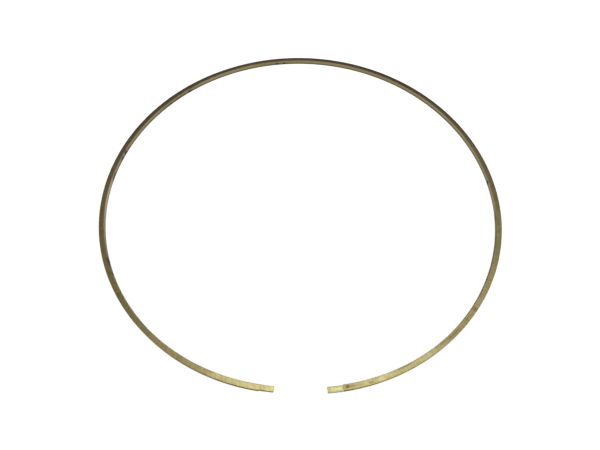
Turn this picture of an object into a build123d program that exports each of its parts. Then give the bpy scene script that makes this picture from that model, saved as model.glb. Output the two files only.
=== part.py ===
from build123d import *
from math import asin, cos, degrees, radians
import os

# A split seal ring of rectangular brass section, lying flat in its free, sprung-open shape.
# Sizes are in millimetres. The gap faces -Y, and the lower side face lies on Z = 0.
# The origin is in the middle of the ring's outline.

# Driving dimensions
back_outer_radius = 120.0   # outer face of the half that lies opposite the gap
arm_outer_radius = 115.8    # outer face of the two arms, which curl in a little towards the gap
radial_width = 2.9          # from the bore face to the outer face
ring_height = 3.2           # between the two side faces
free_gap = 26.0             # straight across from tip to tip, on the centreline
lap_length = 7.5            # each half-height tongue, along the centreline
lap_play = 0.1              # left between the tongues once the ring is closed on itself
root_radius = 0.2           # left by the cutter in the corner below each shoulder
edge_radius = 0.2           # rolled on the long edges of the stock

# The centreline: half a circle at the back and one tighter arc for each arm, tangent at the widest place
back_radius = back_outer_radius - radial_width / 2
arm_radius = arm_outer_radius - radial_width / 2
arm_shift = back_radius - arm_radius    # each arm's centre lies this far out to its own side

# Angles along an arm, from the widest place towards the gap
tip_angle = 90 - degrees(asin((free_gap / 2 - arm_shift) / arm_radius))
shoulder_angle = tip_angle - degrees(lap_length / arm_radius)

# The arcs' common level, which puts the origin half way between the back and the tips
front_reach = arm_outer_radius * cos(radians(90 - tip_angle))
centre_y = (front_reach - back_outer_radius) / 2

# The lap joint: the right tongue is the lower half of the section, the left tongue the upper half
right, left = 1, -1
tongue_height = (ring_height - lap_play) / 2
tongue_base = {right: 0, left: ring_height - tongue_height}
lap_level = {right: tongue_height, left: ring_height - tongue_height}


def arm_arc(side, start, end):
    # Draws the stretch of one arm's centreline between two angles
    first = -start if side == right else 180 + start
    CenterArc((side * arm_shift, centre_y), arm_radius, first, -side * (end - start))


def shoulder_root(side):
    # The middle of the corner where a tongue leaves the full section
    across = arm_radius * cos(radians(shoulder_angle)) + arm_shift
    along = arm_radius * cos(radians(90 - shoulder_angle))
    return (side * across, centre_y - along, lap_level[side])


def is_long_edge(edge):
    # True for an arc in one of the two side faces
    on_side_face = min(abs(edge.center().Z), abs(edge.center().Z - ring_height)) < edge_radius / 10
    return edge.geom_type == GeomType.CIRCLE and on_side_face


with BuildPart() as seal_ring:
    with BuildSketch():
        with BuildLine():
            CenterArc((0, centre_y), back_radius, 0, 180)
            for side in (right, left):
                arm_arc(side, 0, shoulder_angle)
        trace(line_width=radial_width)
    extrude(amount=ring_height)

    for side in (right, left):
        with BuildSketch(Plane.XY.offset(tongue_base[side])):
            with BuildLine():
                arm_arc(side, shoulder_angle, tip_angle)
            trace(line_width=radial_width)
        extrude(amount=tongue_height)
        fillet(seal_ring.edges().sort_by_distance(shoulder_root(side))[0], root_radius)

    fillet(seal_ring.edges().filter_by(is_long_edge), edge_radius)
seal_ring.part.label = "seal_ring"

os.makedirs("parts", exist_ok=True)
export_step(seal_ring.part, "parts/seal_ring.step")

developed_length = (180 * back_radius + 2 * tip_angle * arm_radius) * radians(1)
closed_diameter = (developed_length - lap_length) / radians(180) + radial_width
print("outline", seal_ring.part.bounding_box().size)
print("developed length", round(developed_length, 2), "closed outside diameter", round(closed_diameter, 2))
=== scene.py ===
import math
import random

import bpy
import numpy as np
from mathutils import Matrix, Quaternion, Vector


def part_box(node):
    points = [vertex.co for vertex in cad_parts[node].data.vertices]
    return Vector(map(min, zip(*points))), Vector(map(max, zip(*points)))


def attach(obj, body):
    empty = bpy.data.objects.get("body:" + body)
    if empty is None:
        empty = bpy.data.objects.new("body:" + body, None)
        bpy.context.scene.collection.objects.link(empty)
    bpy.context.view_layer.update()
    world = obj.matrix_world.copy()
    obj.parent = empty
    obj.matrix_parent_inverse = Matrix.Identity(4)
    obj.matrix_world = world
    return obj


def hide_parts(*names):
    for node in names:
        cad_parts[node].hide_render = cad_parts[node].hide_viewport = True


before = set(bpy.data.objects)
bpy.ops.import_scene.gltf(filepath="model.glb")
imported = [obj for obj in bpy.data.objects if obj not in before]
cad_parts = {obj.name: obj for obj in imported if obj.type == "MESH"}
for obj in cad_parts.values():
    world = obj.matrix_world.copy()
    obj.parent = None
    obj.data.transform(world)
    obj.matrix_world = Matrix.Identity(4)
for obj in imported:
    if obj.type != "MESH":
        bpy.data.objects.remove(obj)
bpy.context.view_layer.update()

# Camera and its lens, as the photograph was taken: from close by, looking down over the gap
cameraSetup = {
    "place": (-0.00342, -0.15293, 0.22723),
    "aim": (-0.00070, -0.02351, 0.0),
    "rollDegrees": 1.59,
    "lens": 26.52,
    "sensorWidth": 36.0,
}


def makeCamera():
    camera = bpy.data.cameras.new("camera")
    camera.lens = cameraSetup["lens"]
    camera.sensor_width = cameraSetup["sensorWidth"]
    holder = bpy.data.objects.new("camera", camera)
    bpy.context.scene.collection.objects.link(holder)
    place, aim = Vector(cameraSetup["place"]), Vector(cameraSetup["aim"])
    holder.location = place
    holder.rotation_mode = "QUATERNION"
    level = (aim - place).to_track_quat("-Z", "Y")
    roll = math.radians(cameraSetup["rollDegrees"])
    holder.rotation_quaternion = level @ Quaternion((0, 0, 1), roll)
    bpy.context.scene.camera = holder
    down = math.asin((place.z - aim.z) / (place - aim).length)
    print("camera", round(math.degrees(down), 1), "degrees down")


makeCamera()

# The ring, in metres, in the frame of the CAD solid that it stands for
ringSizes = {
    "radialWidth": 0.0029,      # bore face to outer face
    "armOuterRadius": 0.1158,   # outer face of the two arms beside the gap
    "freeGap": 0.0260,          # tip to tip, on the centreline
    "lapLength": 0.0075,        # each tongue
    "lapPlay": 0.0001,          # between the tongues once closed
    "rootRadius": 0.0002,       # left by the cutter below each shoulder
    "rootSegments": 4,
    "edgeRadius": 0.0002,       # long edges, rolled round and worn
    "edgeSegments": 4,
    "burrRadius": 0.00004,      # edges that the mill left
    "burrSegments": 2,
    "faceCuts": 4,              # rows of the mesh on each of the four faces
    "spinDegrees": 1.02,        # each step of the spins
    "stepCuts": 3,              # and the cuts between two steps
    "sharpDegrees": 50,         # edges at least as sharp as this are broken
    "smoothDegrees": 38,        # and faces that meet at less are shaded smooth
}

ringLow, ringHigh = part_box("seal_ring")
ringHeight = ringHigh.z - ringLow.z
ringMiddle = ringLow.z + ringHeight / 2
halfWidth = ringSizes["radialWidth"] / 2
backRadius = (ringHigh.x - ringLow.x) / 2 - halfWidth
armRadius = ringSizes["armOuterRadius"] - halfWidth
armShift = backRadius - armRadius
tipLean = math.asin((ringSizes["freeGap"] / 2 - armShift) / armRadius)
tipAngle = math.pi / 2 - tipLean
centreY = ringLow.y + ringSizes["armOuterRadius"] * math.cos(tipLean)
tongueHeight = (ringHeight - ringSizes["lapPlay"]) / 2
quarterLength = math.pi / 2 * backRadius
halfLength = quarterLength + tipAngle * armRadius
shoulderAt = halfLength - ringSizes["lapLength"]
right, left = 1, -1


def ringPoint(along, across, height):
    # A point by its distance along the ring from the back, + to the right, and by its place in the section
    if abs(along) <= quarterLength:
        turn = along / backRadius
        reach = backRadius + across
        return Vector((reach * math.sin(turn), centreY + reach * math.cos(turn), height))
    turn = (abs(along) - quarterLength) / armRadius
    reach = armRadius + across
    x = math.copysign(armShift + reach * math.cos(turn), along)
    return Vector((x, centreY - reach * math.sin(turn), height))


def placeOnRing(points):
    # The reverse, for many points: along, across and height
    x, y = points[:, 0], points[:, 1] - centreY
    side = np.where(x >= 0, 1.0, -1.0)
    armX = side * x - armShift
    atBack = y >= 0
    armLength = quarterLength + np.arctan2(-y, armX) * armRadius
    along = np.where(atBack, np.arctan2(x, y) * backRadius, side * armLength)
    across = np.where(atBack, np.hypot(x, y) - backRadius, np.hypot(armX, y) - armRadius)
    return np.column_stack((along, across, points[:, 2]))


def selectNone():
    bpy.ops.object.select_all(action="DESELECT")


def takeUp(piece):
    selectNone()
    piece.select_set(True)
    bpy.context.view_layer.objects.active = piece


def openForEdit(piece, mode="VERT"):
    takeUp(piece)
    bpy.ops.object.mode_set(mode="EDIT")
    bpy.ops.mesh.select_mode(type=mode)
    bpy.ops.mesh.select_all(action="DESELECT")


def closeEdit():
    bpy.ops.object.mode_set(mode="OBJECT")


def pointsOf(piece):
    points = np.empty(len(piece.data.vertices) * 3)
    piece.data.vertices.foreach_get("co", points)
    return points.reshape(-1, 3)


def selectPoints(piece, chosen):
    closeEdit()
    piece.data.vertices.foreach_set("select", chosen)
    bpy.ops.object.mode_set(mode="EDIT")


def selectLongEdges(piece, length):
    closeEdit()
    points = pointsOf(piece)
    for edge in piece.data.edges:
        first, second = edge.vertices
        edge.select = bool(np.linalg.norm(points[first] - points[second]) > length)
    bpy.ops.object.mode_set(mode="EDIT")


def applyModifier(piece, modifier):
    takeUp(piece)
    bpy.ops.object.modifier_apply(modifier=modifier.name)


def spinSection(centreX, angle):
    steps = round(math.degrees(abs(angle)) / ringSizes["spinDegrees"])
    bpy.ops.mesh.spin(steps=steps, angle=angle, center=(centreX, centreY, 0), axis=(0, 0, -1))


def makeBand():
    # One section stands at the widest place on the right and is spun round the ring's three arcs
    selectNone()
    place = (backRadius, centreY, ringMiddle)
    bpy.ops.mesh.primitive_plane_add(size=1, location=place, rotation=(math.pi / 2, 0, 0))
    band = bpy.context.active_object
    band.name = "sealRing"
    band.scale = (ringSizes["radialWidth"], ringHeight, 1)
    bpy.ops.object.transform_apply(location=True, rotation=True, scale=True)

    openForEdit(band)
    bpy.ops.mesh.select_all(action="SELECT")
    radius, segments = ringSizes["edgeRadius"], ringSizes["edgeSegments"]
    bpy.ops.mesh.bevel(offset=radius, segments=segments, affect="VERTICES")
    bpy.ops.mesh.select_all(action="SELECT")
    bpy.ops.mesh.delete(type="ONLY_FACE")
    bpy.ops.mesh.select_mode(type="EDGE")
    selectLongEdges(band, halfWidth)
    bpy.ops.mesh.subdivide(number_cuts=ringSizes["faceCuts"])

    bpy.ops.mesh.select_mode(type="VERT")
    bpy.ops.mesh.select_all(action="SELECT")
    closeEdit()
    sectionPoints = len(band.data.vertices)
    bpy.ops.object.mode_set(mode="EDIT")
    spinSection(0, math.pi)
    spinSection(-armShift, tipAngle)
    bpy.ops.mesh.edge_face_add()
    closeEdit()
    first = np.arange(len(band.data.vertices)) < sectionPoints
    bpy.ops.object.mode_set(mode="EDIT")
    bpy.ops.mesh.select_all(action="DESELECT")
    selectPoints(band, first)
    spinSection(armShift, -tipAngle)
    bpy.ops.mesh.edge_face_add()

    bpy.ops.mesh.select_mode(type="EDGE")
    bpy.ops.mesh.select_all(action="DESELECT")
    selectLongEdges(band, halfWidth)
    bpy.ops.mesh.subdivide(number_cuts=ringSizes["stepCuts"])
    bpy.ops.mesh.select_all(action="SELECT")
    bpy.ops.mesh.normals_make_consistent(inside=False)
    closeEdit()
    print("band", len(band.data.vertices), "points")
    return band


ring = makeBand()

# Unevenness of old rolled stock, the knocks along its edges, and the left end, filed a little out of square
ringWear = {
    "waves": (("rollWaves", 0.009, 0.00003), ("handling", 0.002, 0.000014)),   # name, size, depth
    "nicks": ((16, 0.00003, 0.0008), (9, 0.00005, 0.0012), (4, 0.00007, 0.0017)),   # count, depth, reach
    "seed": 5,
    "leftEndSlant": 0.0002,     # its outer corner is shorter
    "burr": 0.00014,            # and its inner corner drawn out
}


def addWaves(piece):
    for name, size, depth in ringWear["waves"]:
        texture = bpy.data.textures.new(name, "CLOUDS")
        texture.noise_scale = size
        waves = piece.modifiers.new(name, "DISPLACE")
        waves.texture = texture
        waves.texture_coords = "LOCAL"
        waves.strength = depth
        waves.mid_level = 0.5
        applyModifier(piece, waves)


def addNicks(piece):
    # Each sort of nick is pressed into the rounded edges at once
    points = pointsOf(piece)
    place = placeOnRing(points)
    nearSide = halfWidth - np.abs(place[:, 1]) < ringSizes["edgeRadius"] / 2
    nearTop = ringHeight / 2 - np.abs(place[:, 2] - ringMiddle) < ringSizes["edgeRadius"] / 2
    onEdge = np.flatnonzero(nearSide & nearTop)
    # Edge by edge and along each, because the mesh tools number the points differently in every run
    along, outer, upper = place[onEdge, 0], place[onEdge, 1] > 0, place[onEdge, 2] > ringMiddle
    onEdge = onEdge[np.lexsort((along, upper, outer))].tolist()
    chance = random.Random(ringWear["seed"])
    for count, depth, reach in ringWear["nicks"]:
        chosen = np.zeros(len(points), dtype=bool)
        chosen[chance.sample(onEdge, count)] = True
        openForEdit(piece)
        selectPoints(piece, chosen)
        bpy.ops.transform.shrink_fatten(
            value=-depth, use_proportional_edit=True,
            proportional_edit_falloff="SMOOTH", proportional_size=reach)
        closeEdit()


addWaves(ring)
addNicks(ring)
print("wear", len(ringWear["waves"]), "waves,", sum(row[0] for row in ringWear["nicks"]), "nicks")

# The cutter for the laps, against the tongue's length and the ring's width
cutterReach = {"length": 1.4, "width": 3}


def millLap(piece, side):
    # The right tongue loses its upper half and the left tongue its lower half
    shoulder = ringPoint(side * shoulderAt, 0, 0)
    turn = (shoulderAt - quarterLength) / armRadius
    heading = Vector((-side * math.sin(turn), -math.cos(turn), 0))
    length = ringSizes["lapLength"] * cutterReach["length"]
    centre = shoulder + heading * length / 2
    level = ringLow.z + tongueHeight if side == right else ringHigh.z - tongueHeight
    centre.z = level + side * ringHeight / 2
    selectNone()
    rotation = (0, 0, math.atan2(heading.y, heading.x))
    bpy.ops.mesh.primitive_cube_add(size=1, location=centre, rotation=rotation)
    cutter = bpy.context.active_object
    cutter.scale = (length, ringSizes["radialWidth"] * cutterReach["width"], ringHeight)
    bpy.ops.object.transform_apply(location=False, rotation=False, scale=True)
    openForEdit(cutter)
    corners = pointsOf(cutter)
    selectPoints(cutter, (corners[:, 0] < 0) & (corners[:, 2] * side < 0))
    radius, segments = ringSizes["rootRadius"], ringSizes["rootSegments"]
    bpy.ops.mesh.bevel(offset=radius, segments=segments, affect="EDGES")
    closeEdit()
    bpy.ops.object.transform_apply(location=True, rotation=True, scale=True)

    lap = piece.modifiers.new("lap", "BOOLEAN")
    lap.operation = "DIFFERENCE"
    lap.solver = "EXACT"
    lap.object = cutter
    applyModifier(piece, lap)
    bpy.data.objects.remove(cutter)


def breakMilledEdges(piece):
    openForEdit(piece, "EDGE")
    bpy.ops.mesh.edges_select_sharp(sharpness=math.radians(ringSizes["sharpDegrees"]))
    radius, segments = ringSizes["burrRadius"], ringSizes["burrSegments"]
    bpy.ops.mesh.bevel(offset=radius, segments=segments, affect="EDGES", clamp_overlap=True)
    closeEdit()


for side in (right, left):
    millLap(ring, side)
breakMilledEdges(ring)
print("laps milled", len(ring.data.vertices), "points", len(ring.data.polygons), "faces")


def storeAttribute(piece, name, values, kind="FLOAT_VECTOR", domain="POINT"):
    attribute = piece.data.attributes.new(name, kind, domain)
    attribute.data.foreach_set("value" if kind == "FLOAT" else "vector", values.astype(np.float32).ravel())


def readVectors(parts, name):
    vectors = np.empty(len(parts) * 3)
    parts.foreach_get(name, vectors)
    return vectors.reshape(-1, 3)


def outwardsAt(points):
    # The level direction away from the middle of the arc that each point is on
    shift = np.where(points[:, 1] < centreY, np.sign(points[:, 0]) * armShift, 0)
    away = points[:, :2] - np.column_stack((shift, np.full(len(points), centreY)))
    return away / np.linalg.norm(away, axis=1)[:, None]


# A tongue looks in or out by less than this, and the other milled faces along the ring by more
lapFacing = {"tongue": 0.3, "root": 0.1, "shoulder": 0.6}


def onLapJoint(centres, normals):
    # First all the milled faces, then those of them that stand up: root, shoulder and tip
    place, away = placeOnRing(centres), outwardsAt(centres)
    facingAlong = np.abs(normals[:, 0] * away[:, 1] - normals[:, 1] * away[:, 0])
    facingOut = np.abs((normals[:, :2] * away).sum(axis=1))
    level = np.where(place[:, 0] > 0, ringLow.z + tongueHeight, ringHigh.z - tongueHeight)
    nearLevel = np.abs(place[:, 2] - level) < ringSizes["rootRadius"]
    beyondShoulder = np.abs(place[:, 0]) > shoulderAt - ringSizes["rootRadius"]
    onTongue = beyondShoulder & nearLevel & (facingOut < lapFacing["tongue"])
    onStep = (facingAlong > lapFacing["shoulder"]) | onTongue & (facingAlong > lapFacing["root"])
    return onStep | onTongue, onStep


def markFaces(piece):
    # ringPlace is where a point is on the ring, and ringSide how far it faces out, less than 0 in the bore.
    # ringMilled is 1 on the lap joint's faces, and ringStep on those that stand up.
    points = pointsOf(piece)
    normals = readVectors(piece.data.vertices, "normal")
    polygons = piece.data.polygons
    milled, onStep = onLapJoint(readVectors(polygons, "center"), readVectors(polygons, "normal"))
    storeAttribute(piece, "ringPlace", placeOnRing(points))
    storeAttribute(piece, "ringSide", (normals[:, :2] * outwardsAt(points)).sum(axis=1), "FLOAT")
    storeAttribute(piece, "ringMilled", milled, "FLOAT", "FACE")
    storeAttribute(piece, "ringStep", onStep, "FLOAT", "FACE")
    print("milled faces", int(milled.sum()))


def pushPoints(piece, chosen, shove, reach, falloff):
    openForEdit(piece)
    selectPoints(piece, chosen)
    bpy.ops.transform.translate(
        value=shove, use_proportional_edit=True,
        proportional_edit_falloff=falloff, proportional_size=reach)
    closeEdit()


def dressLeftEnd(piece):
    # After the marking, so that the end face keeps its mark
    place = placeOnRing(pointsOf(piece))
    margin, corner = ringSizes["burrRadius"] * 2, ringSizes["edgeRadius"] * 2
    atEnd = place[:, 0] < -halfLength + margin
    beyond = (ringPoint(-halfLength, 0, 0) - ringPoint(-shoulderAt, 0, 0)).normalized()
    outerCorner = atEnd & (place[:, 1] > halfWidth - margin)
    pushPoints(piece, outerCorner, -beyond * ringWear["leftEndSlant"], ringSizes["radialWidth"], "LINEAR")
    innerCorner = atEnd & (place[:, 1] < -halfWidth + margin) & (place[:, 2] > ringHigh.z - corner)
    pushPoints(piece, innerCorner, beyond * ringWear["burr"], corner, "SHARP")


takeUp(ring)
bpy.ops.object.shade_smooth_by_angle(angle=math.radians(ringSizes["smoothDegrees"]))
markFaces(ring)
dressLeftEnd(ring)

# Old brass. The colours are linear
brassColours = {
    "dull": (0.175, 0.123, 0.088),        # brown round the back of the ring, partly a painted dark reflection there
    "olive": (0.315, 0.268, 0.111),       # thin green tarnish
    "rose": (0.36, 0.257, 0.134),         # thin pink tarnish
    "bright": (0.64, 0.578, 0.274),       # rubbed bright towards the tips, partly a painted highlight there
    "blush": (0.56, 0.425, 0.205),        # pink on the bright
    "border": (1.01, 1.0, 0.88),          # tint along both borders of a side face
    "bore": (0.188, 0.158, 0.077),
    "boreClean": (0.345, 0.296, 0.152),
    "boreStreak": (0.32, 0.286, 0.064),
    "boreRose": (0.3, 0.2, 0.125),
    "boreGrey": (0.22, 0.21, 0.142),      # low down, from the back to the right arm
    "borePaleReflection": (0.62, 0.58, 0.46),       # painted reflection, pale on the left arm
    "boreContactShadow": (0.05, 0.05, 0.042),      # painted contact shadow along the lower edge
    "innerEdgeShade": (0.12, 0.118, 0.1),       # painted shade: a dark reflection on the inner edge of the right arm
    "running": (0.068, 0.046, 0.018),     # outer face, dark with old oil
    "runningWorn": (0.29, 0.228, 0.105),
    "backShade": (0.07, 0.046, 0.036),        # painted shade: a dark reflection on the outer edge, round the back
    "milled": (0.66, 0.61, 0.29),         # tongues
    "milledLine": (0.62, 0.57, 0.27),
    "step": (1.0, 0.96, 0.68),            # root and shoulder, pale as painted light where the lamps leave them dark
    "end": (0.25, 0.2, 0.09),             # the ends themselves, darker as painted shade
    "violet": (0.024, 0.014, 0.048),      # heat stains on the lower edge of the bore
    "umber": (0.155, 0.115, 0.058),
    "pale": (0.74, 0.69, 0.42),
    # painted highlights
    "yellow": (0.74, 0.62, 0.15),
}

# How clean the side faces are, together with painted light: low round the back for a painted dark
# reflection, high near the gap for a painted highlight. Distance along the ring, and 0 dull, 0.5 tarnished,
# 1 rubbed bright
cleannessAndLight = (
    (-0.357, 0.99), (-0.3262, 0.95), (-0.3235, 0.76), (-0.300, 0.68), (-0.286, 0.57), (-0.272, 0.55),
    (-0.258, 0.53), (-0.244, 0.48), (-0.216, 0.40), (-0.188, 0.34), (-0.159, 0.19), (-0.130, 0.07),
    (-0.060, 0.05), (0.005, 0.08), (0.018, -0.1), (0.062, -0.1), (0.090, 0.08), (0.112, 0.19),
    (0.130, 0.22), (0.156, 0.43), (0.188, 0.51), (0.202, 0.62), (0.216, 0.67), (0.244, 0.9),
    (0.258, 0.94), (0.272, 0.88), (0.286, 0.83), (0.300, 0.85), (0.328, 0.85), (0.349, 0.7),
)

# How pink the tarnish is, from 0 to 1
pinkness = (
    (-0.357, 0.2), (-0.3265, 0.3), (-0.3235, 0.9), (-0.295, 0.8), (-0.285, 0.4), (-0.260, 0.25),
    (-0.225, 0.65), (-0.150, 0.6), (0.100, 0.5), (0.188, 0.5), (0.205, 0.15), (0.222, 0.4),
    (0.240, 1.0), (0.288, 0.9), (0.302, 0.3), (0.357, 0.3),
)

# How light the bore is, from 0 to 1
boreTone = (
    (-0.357, 0.9), (-0.245, 0.9), (-0.230, 0.3), (-0.212, 1.0), (-0.180, 1.0), (-0.165, 0.5),
    (-0.150, 0.45), (-0.120, 0.62), (-0.108, 0.4), (-0.096, 0.15), (-0.084, 0.2), (-0.072, 0.85),
    (-0.045, 0.85), (-0.032, 0.5), (-0.015, 0.15), (-0.004, 0.35), (0.020, 0.6), (0.045, 0.5),
    (0.072, 0.4), (0.100, 0.75), (0.140, 0.65), (0.165, 0.45), (0.190, 0.35), (0.215, 0.5),
    (0.357, 0.3),
)

# Stains, painted highlights and a painted shadow, from left to right: distance along, place across or up,
# half the length and width, strength
boreStains = (
    (-0.2439, 0.0023, 0.0013, 0.0012, 1.0), (-0.2360, 0.0021, 0.0042, 0.0014, 1.0),
    (-0.1740, 0.0015, 0.0042, 0.0009, 0.9), (-0.1599, 0.0010, 0.0018, 0.0014, 1.0),
    (-0.1549, 0.0012, 0.0016, 0.0020, 1.0), (-0.1510, 0.0014, 0.0020, 0.0008, 0.4),
    (-0.1100, 0.0018, 0.0050, 0.0005, 0.35), (-0.1050, 0.0006, 0.0013, 0.0010, 1.0),
    (-0.1010, 0.0004, 0.0030, 0.0004, 0.6), (-0.0960, 0.0016, 0.0060, 0.0005, 0.35),
    (-0.0880, 0.0013, 0.0020, 0.0008, 0.9), (-0.0183, 0.0008, 0.0014, 0.0010, 1.0),
    (-0.0130, 0.0009, 0.0012, 0.0009, 1.0), (0.1762, 0.0012, 0.0016, 0.0016, 1.0),
    (0.2020, 0.0018, 0.0042, 0.0009, 0.6),
)
brownStainsAndShadow = (
    # The first is painted shadow: the shade under the left tongue, along its outer edge
    (-0.3548, 0.00143, 0.0028, 0.0003, 0.4), (-0.3518, -0.0002, 0.0024, 0.0014, 0.2),
    (-0.3514, 0.0014, 0.0022, 0.0004, 0.9), (-0.3240, -0.0010, 0.0020, 0.0004, 0.3),
    (-0.2677, 0.0, 0.0006, 0.0014, 0.3), (0.2062, -0.0006, 0.0016, 0.0004, 0.4),
    (0.2650, 0.0, 0.0003, 0.0017, 1.0), (0.2663, 0.0, 0.0003, 0.0017, 0.9),
    (0.2728, -0.0001, 0.0020, 0.0007, 0.35), (0.2852, -0.0002, 0.0050, 0.0006, 0.45),
    (0.2925, -0.0008, 0.0045, 0.0007, 0.35), (0.3162, -0.0010, 0.0042, 0.0005, 0.45),
    (0.3180, -0.00145, 0.0080, 0.0004, 0.6), (0.3355, 0.0002, 0.0012, 0.0006, 0.4),
    (0.3357, 0.0002, 0.0005, 0.0004, 0.45), (0.3418, 0.0, 0.0024, 0.0006, 0.25),
    (0.3420, -0.0002, 0.0005, 0.0004, 0.4), (0.3452, -0.0001, 0.0026, 0.0008, 0.45),
    (0.3473, -0.0002, 0.0013, 0.0009, 1.0), (0.3485, 0.0000, 0.0012, 0.0018, 0.25),
    (0.3556, 0.0001, 0.0004, 0.0006, 0.4), (0.3563, -0.0002, 0.0004, 0.0006, 0.45),
)
pinkStains = (
    (-0.3518, 0.0010, 0.0022, 0.0005, 0.6), (-0.3500, -0.0013, 0.0016, 0.0002, 0.5),
    (-0.2905, 0.0, 0.0035, 0.0009, 0.3), (-0.2666, 0.0, 0.00025, 0.0017, 0.9),
    (0.3151, -0.0005, 0.0022, 0.0007, 0.4), (0.3564, 0.0009, 0.0005, 0.0005, 0.5),
)
paleStains = (
    (-0.3546, 0.0009, 0.0010, 0.0004, 0.6), (0.3040, 0.0002, 0.0045, 0.0008, 0.45),
    (0.3302, 0.0004, 0.0020, 0.0012, 0.45),
)
# Painted highlights on the right arm and at both tips
yellowHighlights = (
    (-0.3563, 0.0001, 0.0004, 0.0012, 0.7), (-0.3562, -0.0010, 0.0005, 0.0005, 0.7),
    (0.3090, 0.0, 0.0025, 0.0009, 0.3), (0.3305, 0.0004, 0.0030, 0.0009, 0.25),
    (0.3561, 0.0007, 0.0008, 0.0006, 0.3),
)


def addNode(tree, kind, **settings):
    node = tree.nodes.new(kind)
    for name, value in settings.items():
        setattr(node, name, value)
    return node


def feed(tree, socket, value):
    # A socket is wired, and anything else is typed in
    if isinstance(value, bpy.types.NodeSocket):
        tree.links.new(value, socket)
    elif isinstance(value, tuple) and len(value) == 3 and socket.type == "RGBA":
        socket.default_value = (*value, 1.0)
    else:
        socket.default_value = value


def reckon(tree, operation, first, second=0.0, third=0.0):
    node = addNode(tree, "ShaderNodeMath", operation=operation)
    for socket, value in zip(node.inputs, (first, second, third)):
        feed(tree, socket, value)
    return node.outputs[0]


def product(tree, first, *others):
    for other in others:
        first = reckon(tree, "MULTIPLY", first, other)
    return first


def blend(tree, share, first, second, mode="MIX"):
    node = addNode(tree, "ShaderNodeMix", data_type="RGBA", blend_type=mode)
    feed(tree, node.inputs[0], share)
    feed(tree, node.inputs[6], first)
    feed(tree, node.inputs[7], second)
    return node.outputs[2]


def ramp(tree, value, low, high, lowOut=0.0, highOut=1.0, shape="SMOOTHSTEP"):
    node = addNode(tree, "ShaderNodeMapRange", interpolation_type=shape)
    numbers = {"Value": value, "From Min": low, "From Max": high, "To Min": lowOut, "To Max": highOut}
    for name, number in numbers.items():
        feed(tree, node.inputs[name], number)
    return node.outputs[0]


def sway(tree, value, depth, middle=0.0):
    # Takes a value between 0 and 1 as the same amount under and over the middle
    return reckon(tree, "MULTIPLY_ADD", value, depth, middle - depth / 2)


def follow(tree, value, table):
    # A smooth curve through the table's points
    first, last = table[0][0], table[-1][0]
    node = addNode(tree, "ShaderNodeFloatCurve")
    curve = node.mapping.curves[0]
    for place, level in table[1:-1]:
        curve.points.new((place - first) / (last - first), level)
    curve.points[0].location = (0.0, table[0][1])
    curve.points[len(curve.points) - 1].location = (1.0, table[-1][1])
    node.mapping.update()
    feed(tree, node.inputs["Value"], ramp(tree, value, first, last, shape="LINEAR"))
    return node.outputs[0]


def grain(tree, vector, size, turn=0.0, detail=2.0, roughness=0.5):
    # Noise whose patches have the given size along, across and up, turned in the plane of the side faces
    mapping = addNode(tree, "ShaderNodeMapping", vector_type="TEXTURE")
    feed(tree, mapping.inputs["Vector"], vector)
    feed(tree, mapping.inputs["Rotation"], (0.0, 0.0, turn))
    feed(tree, mapping.inputs["Scale"], size)
    noise = addNode(tree, "ShaderNodeTexNoise")
    feed(tree, noise.inputs["Vector"], mapping.outputs[0])
    for name, number in (("Scale", 1.0), ("Detail", detail), ("Roughness", roughness)):
        feed(tree, noise.inputs[name], number)
    return noise.outputs[0]


# In this dictionary and the ones below, a pair of numbers is where a change starts and ends,
# and two more are the shares that it goes from and to
stainFinish = {
    "fray": 1.2,                      # how much the specks bite into a rim, in half lengths and widths
    "soft": (1.3, 0.4),               # a stain from its rim to its full strength, in the same
    "boreOnly": (-0.0008, -0.0013),   # across
    "topOnly": (ringLow.z + tongueHeight / 2, ringLow.z + tongueHeight * 0.9),
}


def stainMask(tree, along, sideways, stains, fray):
    # Every stain is a soft oval with a frayed rim
    mask = None
    for centre, height, halfAlong, halfSideways, strength in stains:
        reach = reckon(tree, "DIVIDE", reckon(tree, "SUBTRACT", along, centre), halfAlong)
        rise = reckon(tree, "DIVIDE", reckon(tree, "SUBTRACT", sideways, height), halfSideways)
        square = reckon(tree, "MULTIPLY_ADD", reach, reach, reckon(tree, "MULTIPLY", rise, rise))
        distance = reckon(tree, "ADD", reckon(tree, "SQRT", square), fray)
        spot = ramp(tree, distance, *stainFinish["soft"], 0.0, strength)
        mask = spot if mask is None else reckon(tree, "MAXIMUM", mask, spot)
    return mask


def addGrey(tree, value):
    node = addNode(tree, "ShaderNodeCombineColor")
    for socket in node.inputs[:3]:
        feed(tree, socket, value)
    return node.outputs[0]


# Grain that several faces share: how long, wide and high its patches are
sharedGrain = {
    "grind": (0.0009, 0.0045, 0.0045),   # lines that grinding left on the side faces
    "grindTurn": 0.35,
    "specks": (0.0006, 0.0005, 0.0005),
    "streaks": (0.006, 0.0004, 0.0004),
}


def readRing(tree):
    # What the colours of all faces are worked out from
    spot = {"place": addNode(tree, "ShaderNodeAttribute", attribute_name="ringPlace").outputs["Vector"]}
    parts = addNode(tree, "ShaderNodeSeparateXYZ")
    feed(tree, parts.inputs[0], spot["place"])
    spot["along"], spot["across"], spot["height"] = parts.outputs
    for name, attribute in (("side", "ringSide"), ("milled", "ringMilled"), ("step", "ringStep")):
        spot[name] = addNode(tree, "ShaderNodeAttribute", attribute_name=attribute).outputs["Fac"]
    spot["fromBack"] = reckon(tree, "ABSOLUTE", spot["along"])
    spot["offCentre"] = reckon(tree, "ABSOLUTE", spot["across"])
    spot["ground"] = grain(tree, spot["place"], sharedGrain["grind"], turn=sharedGrain["grindTurn"])
    spot["specks"] = grain(tree, spot["place"], sharedGrain["specks"], detail=3)
    spot["streaks"] = grain(tree, spot["place"], sharedGrain["streaks"])
    return spot


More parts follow.
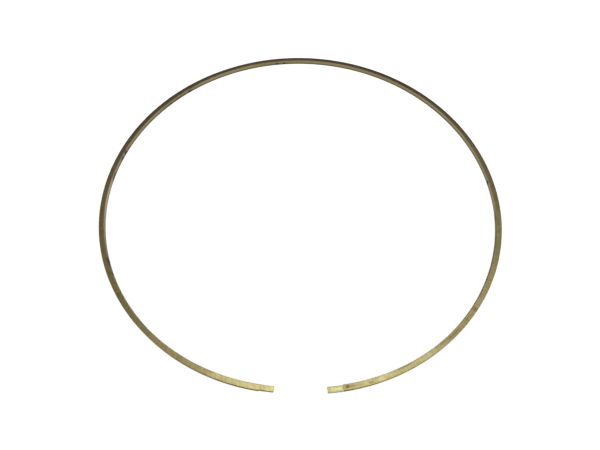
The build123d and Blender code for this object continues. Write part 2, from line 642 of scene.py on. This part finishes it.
sideFinish = {
    "patches": (0.0014, 0.0010, 0.0010),        # of green and pink
    "clouds": (0.016, 0.016 / 3, 0.016 / 3),    # slow changes along the ring
    "cloudDepth": 0.24,                         # how much they change the cleanness
    "pinkDepth": 0.24,                          # how much the table of pinkness tells
    "pinkChange": (0.44, 0.58),                 # from green to pink
    "pinkBand": (0.0014, 0.0008),               # off the centreline, where pink fades in
    "pinkOnBright": 0.6,
    "dullToTarnished": (0.0, 0.5),              # on the scale of cleanness
    "tarnishedToBright": (0.5, 1.0),
    "border": (0.0006, 0.0012),
    "grindDepth": 0.76,                         # how much the lines and the specks darken and lighten
    "speckDepth": 0.3,
}


def paintSideFaces(tree, spot):
    # Patches of green and pink tarnish, browner round the back and rubbed bright towards the tips, which is
    # partly painted light: a dark reflection round the back and a highlight near the gap
    patch = grain(tree, spot["place"], sideFinish["patches"], detail=3, roughness=0.6)
    cloud = grain(tree, spot["place"], sideFinish["clouds"])
    pink = sway(tree, follow(tree, spot["along"], pinkness), sideFinish["pinkDepth"])
    middle = ramp(tree, spot["offCentre"], *sideFinish["pinkBand"])
    rose = product(tree, middle, ramp(tree, reckon(tree, "ADD", patch, pink), *sideFinish["pinkChange"]))
    tarnish = blend(tree, rose, brassColours["olive"], brassColours["rose"])
    # Cleanness along the ring with painted light in it, darker round the back and brighter near the gap
    cleanAndLit = follow(tree, spot["along"], cleannessAndLight)
    cleanAndLit = reckon(tree, "ADD", cleanAndLit, sway(tree, cloud, sideFinish["cloudDepth"]))
    tarnished = ramp(tree, cleanAndLit, *sideFinish["dullToTarnished"], shape="LINEAR")
    colour = blend(tree, tarnished, brassColours["dull"], tarnish)
    blush = product(tree, rose, sideFinish["pinkOnBright"])
    brightest = blend(tree, blush, brassColours["bright"], brassColours["blush"])
    rubbedAndLit = ramp(tree, cleanAndLit, *sideFinish["tarnishedToBright"], shape="LINEAR")
    colour = blend(tree, rubbedAndLit, colour, brightest)
    border = ramp(tree, spot["offCentre"], *sideFinish["border"])
    colour = blend(tree, border, colour, brassColours["border"], "MULTIPLY")
    lines = sway(tree, spot["ground"], sideFinish["grindDepth"], 1.0)
    shade = product(tree, lines, sway(tree, spot["specks"], sideFinish["speckDepth"], 1.0))
    return blend(tree, 1.0, colour, addGrey(tree, shade), "MULTIPLY")


boreFinish = {
    "streaks": (0.48, 0.66, 0.0, 0.8),
    "roseGrain": (0.005, 0.0005, 0.0005),
    "roseTurn": 0.5,
    "rose": (0.5, 0.64, 0.0, 0.6),
    "greyHeight": (0.0024, 0.0007),
    "greyAlong": (0.02, 0.13, 0.25, 0.9),       # more of it on the right arm
    "contactShadowHeight": (0.0015, 0.0005),
    "contactShadowAlong": (0.18, 0.2, 0.95, 0.4),        # less of it from there on
    "reflectionFrom": (-0.236, -0.228, 0.0, 0.3),
    "reflectionTo": (-0.173, -0.184),
    "gapShadeAlong": (0.235, 0.265, 1.0, 0.3),
}


def paintBore(tree, spot):
    # Olive with yellow and pink streaks, grey low down, painted contact shadow along the lower edge, a
    # painted pale reflection on the left arm and painted shade on the right arm from where it turns towards
    # the gap
    tone = follow(tree, spot["along"], boreTone)
    bore = blend(tree, tone, brassColours["bore"], brassColours["boreClean"])
    streaks = ramp(tree, spot["streaks"], *boreFinish["streaks"])
    bore = blend(tree, streaks, bore, brassColours["boreStreak"])
    rosy = grain(tree, spot["place"], boreFinish["roseGrain"], turn=boreFinish["roseTurn"], detail=3)
    bore = blend(tree, ramp(tree, rosy, *boreFinish["rose"]), bore, brassColours["boreRose"])
    low = ramp(tree, spot["height"], *boreFinish["greyHeight"])
    grey = product(tree, low, ramp(tree, spot["along"], *boreFinish["greyAlong"]))
    bore = blend(tree, grey, bore, brassColours["boreGrey"])
    # Painted contact shadow along the lower edge
    lowest = ramp(tree, spot["height"], *boreFinish["contactShadowHeight"])
    contactShadow = product(tree, lowest, ramp(tree, spot["along"], *boreFinish["contactShadowAlong"]))
    bore = blend(tree, contactShadow, bore, brassColours["boreContactShadow"])
    # Painted reflection: the bore paler on the left arm
    reflection = ramp(tree, spot["along"], *boreFinish["reflectionFrom"])
    reflection = product(tree, reflection, ramp(tree, spot["along"], *boreFinish["reflectionTo"]))
    bore = blend(tree, reflection, bore, brassColours["borePaleReflection"])
    # Painted shade on the right arm's bore, beside the gap
    gapShade = addGrey(tree, ramp(tree, spot["along"], *boreFinish["gapShadeAlong"]))
    return blend(tree, 1.0, bore, gapShade, "MULTIPLY")


outerFinish = {
    "wornFrom": (0.19, 0.26),
    "wornTo": (0.349, 0.34),
    "streaks": (0.5, 0.75),
}


def paintOuterFace(tree, spot):
    # Dark, with worn streaks, and worn all over on the right arm up to the tongue
    worn = ramp(tree, spot["along"], *outerFinish["wornFrom"])
    worn = product(tree, worn, ramp(tree, spot["along"], *outerFinish["wornTo"]))
    worn = reckon(tree, "MAXIMUM", ramp(tree, spot["streaks"], *outerFinish["streaks"]), worn)
    return blend(tree, worn, brassColours["running"], brassColours["runningWorn"])


rimFinish = {
    "backShadeFromBack": (0.21, 0.1, 0.0, 0.9),
    "backShadeAcross": (0.0, 0.0010),
    "lineFacing": (-0.1, -0.5),                 # from the side face to the bore
    "lineFrom": (0.215, 0.25),
    "lineTo": (0.32, 0.29, 0.3, 1.0),
    "lineShare": 0.6,
    "edgeOffCentre": (0.00125, 0.00143),
    "edgeFromBack": (0.26, 0.235, 0.1, 0.3),    # less of it towards the tips
}


def paintRims(tree, spot, colour):
    # Painted shade as a dark reflection on the outer half round the back, painted shade as a dark line on
    # the right arm's inner edge, and a little brown on all edges
    # Painted shade: a dark reflection on the outer half round the back
    backShade = ramp(tree, spot["across"], *rimFinish["backShadeAcross"])
    backShade = product(tree, backShade, ramp(tree, spot["fromBack"], *rimFinish["backShadeFromBack"]))
    colour = blend(tree, backShade, colour, brassColours["backShade"])
    # Painted shade: a dark reflection along the right arm's inner edge
    line = ramp(tree, spot["side"], *rimFinish["lineFacing"])
    for place in ("lineFrom", "lineTo"):
        line = product(tree, line, ramp(tree, spot["along"], *rimFinish[place]))
    colour = blend(tree, product(tree, line, rimFinish["lineShare"]), colour, brassColours["innerEdgeShade"])
    edge = ramp(tree, spot["offCentre"], *rimFinish["edgeOffCentre"])
    edge = product(tree, edge, ramp(tree, spot["fromBack"], *rimFinish["edgeFromBack"]))
    return blend(tree, edge, colour, brassColours["umber"])


def paintStains(tree, spot, colour):
    # Stains, with painted highlights and a painted shadow among them
    fray = sway(tree, spot["specks"], stainFinish["fray"])
    inBore = stainMask(tree, spot["along"], spot["height"], boreStains, fray)
    inBore = product(tree, inBore, ramp(tree, spot["across"], *stainFinish["boreOnly"]))
    colour = blend(tree, inBore, colour, brassColours["violet"])
    onTop = ramp(tree, spot["height"], *stainFinish["topOnly"])
    onFace = {"pale": paleStains, "blush": pinkStains, "yellow": yellowHighlights, "umber": brownStainsAndShadow}
    for name, stains in onFace.items():
        mask = stainMask(tree, spot["along"], spot["across"], stains, fray)
        colour = blend(tree, product(tree, mask, onTop), colour, brassColours[name])
    return colour


lapFinish = {
    "lineGrain": (0.0004, 0.004, 0.004),
    "lines": (0.35, 0.65),
    "end": (halfLength - ringSizes["burrRadius"] * 5, halfLength - ringSizes["burrRadius"]),
}


def paintLap(tree, spot):
    # Cut later than the rest, with the mill's faint lines across, painted light on root and shoulder and
    # painted shade on the ends
    lines = grain(tree, spot["place"], lapFinish["lineGrain"], detail=1)
    lines = ramp(tree, lines, *lapFinish["lines"])
    tongue = blend(tree, lines, brassColours["milled"], brassColours["milledLine"])
    atEnd = ramp(tree, spot["fromBack"], *lapFinish["end"])
    # Painted light on root and shoulder, painted shade on the ends
    step = blend(tree, atEnd, brassColours["step"], brassColours["end"])
    return blend(tree, spot["step"], tongue, step)


metalFinish = {
    "bore": (-0.4, -0.85),                      # how far a point faces out, from the side faces to the bore
    "outerFace": (0.5, 0.85),                   # and from them to the outer face
    "grindRelief": 0.6,
    "speckRelief": 0.4,
    "milledRelief": 0.3,                        # what the milled faces keep of both
    "bumpDepth": 0.000006,
    "roughness": (0.3, 0.7, 0.4, 0.47),
    "milledRoughness": 0.43,
    "stepRoughness": 0.75,
    "wallRoughness": (0.5, 0.9, 0.0, 0.8),      # bore and outer face, on both arms
    "wallFromBack": (0.17, 0.22),
}


def roughBrass(tree, spot):
    rough = ramp(tree, spot["specks"], *metalFinish["roughness"])
    rough = ramp(tree, spot["milled"], 0.0, 1.0, rough, metalFinish["milledRoughness"])
    rough = ramp(tree, spot["step"], 0.0, 1.0, rough, metalFinish["stepRoughness"])
    onWall = ramp(tree, reckon(tree, "ABSOLUTE", spot["side"]), *metalFinish["wallRoughness"])
    onArms = ramp(tree, spot["fromBack"], *metalFinish["wallFromBack"])
    return reckon(tree, "MAXIMUM", rough, product(tree, onWall, onArms))


def makeBrass():
    material = bpy.data.materials.new("oldBrass")
    material.use_nodes = True
    tree = material.node_tree
    tree.nodes.clear()
    spot = readRing(tree)
    colour = paintSideFaces(tree, spot)
    colour = blend(tree, ramp(tree, spot["side"], *metalFinish["bore"]), colour, paintBore(tree, spot))
    outer = ramp(tree, spot["side"], *metalFinish["outerFace"])
    colour = blend(tree, outer, colour, paintOuterFace(tree, spot))
    colour = paintRims(tree, spot, colour)
    colour = blend(tree, spot["milled"], colour, paintLap(tree, spot))
    colour = paintStains(tree, spot, colour)

    ground = product(tree, spot["ground"], metalFinish["grindRelief"])
    relief = reckon(tree, "ADD", ground, product(tree, spot["specks"], metalFinish["speckRelief"]))
    kept = reckon(tree, "MULTIPLY_ADD", spot["milled"], metalFinish["milledRelief"] - 1, 1.0)
    bump = addNode(tree, "ShaderNodeBump")
    bump.inputs["Distance"].default_value = metalFinish["bumpDepth"]
    feed(tree, bump.inputs["Height"], product(tree, relief, kept))

    shader = addNode(tree, "ShaderNodeBsdfPrincipled")
    feed(tree, shader.inputs["Base Color"], colour)
    shader.inputs["Metallic"].default_value = 1.0
    feed(tree, shader.inputs["Roughness"], roughBrass(tree, spot))
    feed(tree, shader.inputs["Normal"], bump.outputs[0])
    output = addNode(tree, "ShaderNodeOutputMaterial")
    feed(tree, output.inputs["Surface"], shader.outputs[0])
    print("brass", len(tree.nodes), "nodes")
    return material


ring.data.materials.clear()
ring.data.materials.append(makeBrass())
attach(ring, "root")
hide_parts("seal_ring")

# Plain studio: a white table with a white surround, a grey room and two soft lamps
studio = {
    "roomLevel": 0.3,
    "tableSize": 6.0,
    "surroundRadius": 2.8,
    "surroundSides": 96,
    "surroundHeight": 1.6,
    "fadeFrom": 0.7,            # height at which the surround starts to fade into the grey room
    "paperWhite": 0.8,
    "paperGlow": 0.73,          # what makes the paper white for the camera and in reflections
    "overhead": {"place": (0.06, 0.02, 0.9), "aim": (0.0, -0.05, 0.0), "size": 0.5, "radiance": 2.6},
    "front": {"place": (0.0, -1.3, 1.1), "aim": (0.0, 0.0, 0.0), "size": 0.9, "radiance": 1.5},
}


def makeWhite():
    # Paper with a glow that only the camera and reflections see, fading with height into the grey room
    material = bpy.data.materials.new("whitePaper")
    material.use_nodes = True
    tree = material.node_tree
    tree.nodes.clear()
    parts = addNode(tree, "ShaderNodeSeparateXYZ")
    feed(tree, parts.inputs[0], addNode(tree, "ShaderNodeTexCoord").outputs["Object"])
    white = ramp(tree, parts.outputs["Z"], studio["fadeFrom"], studio["surroundHeight"], 1.0, 0.0)
    paper = addNode(tree, "ShaderNodeBsdfDiffuse")
    feed(tree, paper.inputs["Color"], addGrey(tree, product(tree, white, studio["paperWhite"])))
    rays = addNode(tree, "ShaderNodeLightPath")
    seen = reckon(tree, "ADD", rays.outputs["Is Camera Ray"], rays.outputs["Is Glossy Ray"])
    seen = reckon(tree, "ADD", seen, rays.outputs["Is Transmission Ray"])
    glow = addNode(tree, "ShaderNodeEmission")
    level = ramp(tree, white, 0.0, 1.0, studio["roomLevel"], studio["paperGlow"], shape="LINEAR")
    feed(tree, glow.inputs["Strength"], reckon(tree, "MULTIPLY", seen, level))
    both = addNode(tree, "ShaderNodeAddShader")
    feed(tree, both.inputs[0], paper.outputs[0])
    feed(tree, both.inputs[1], glow.outputs[0])
    output = addNode(tree, "ShaderNodeOutputMaterial")
    feed(tree, output.inputs["Surface"], both.outputs[0])
    return material


def makeTable():
    selectNone()
    bpy.ops.mesh.primitive_plane_add(size=studio["tableSize"], location=(0, 0, ringLow.z))
    table = bpy.context.active_object
    table.name = "table"
    selectNone()
    height = studio["surroundHeight"]
    bpy.ops.mesh.primitive_cylinder_add(
        vertices=studio["surroundSides"], radius=studio["surroundRadius"], depth=height,
        end_fill_type="NOTHING", location=(0, 0, ringLow.z + height / 2))
    surround = bpy.context.active_object
    surround.name = "surround"
    white = makeWhite()
    for piece in (table, surround):
        takeUp(piece)
        bpy.ops.object.transform_apply(location=True, rotation=True, scale=True)
        piece.data.materials.append(white)


def makeLamp(name):
    # A disk's energy is its radiance times its area and pi
    setup = studio[name]
    lamp = bpy.data.lights.new(name, "AREA")
    lamp.shape = "DISK"
    lamp.size = setup["size"]
    area = math.pi * (setup["size"] / 2) ** 2
    lamp.energy = setup["radiance"] * area * math.pi
    holder = bpy.data.objects.new(name, lamp)
    bpy.context.scene.collection.objects.link(holder)
    holder.location = setup["place"]
    aim = Vector(setup["aim"]) - Vector(setup["place"])
    holder.rotation_mode = "QUATERNION"
    holder.rotation_quaternion = aim.to_track_quat("-Z", "Y")


def makeRoom():
    world = bpy.data.worlds.new("room")
    bpy.context.scene.world = world
    world.use_nodes = True
    level = studio["roomLevel"]
    background = world.node_tree.nodes["Background"]
    background.inputs["Color"].default_value = (level, level, level, 1)
    background.inputs["Strength"].default_value = 1.0


makeTable()
makeLamp("overhead")
makeLamp("front")
makeRoom()
bpy.context.scene.view_settings.view_transform = "Standard"
print("studio ready")
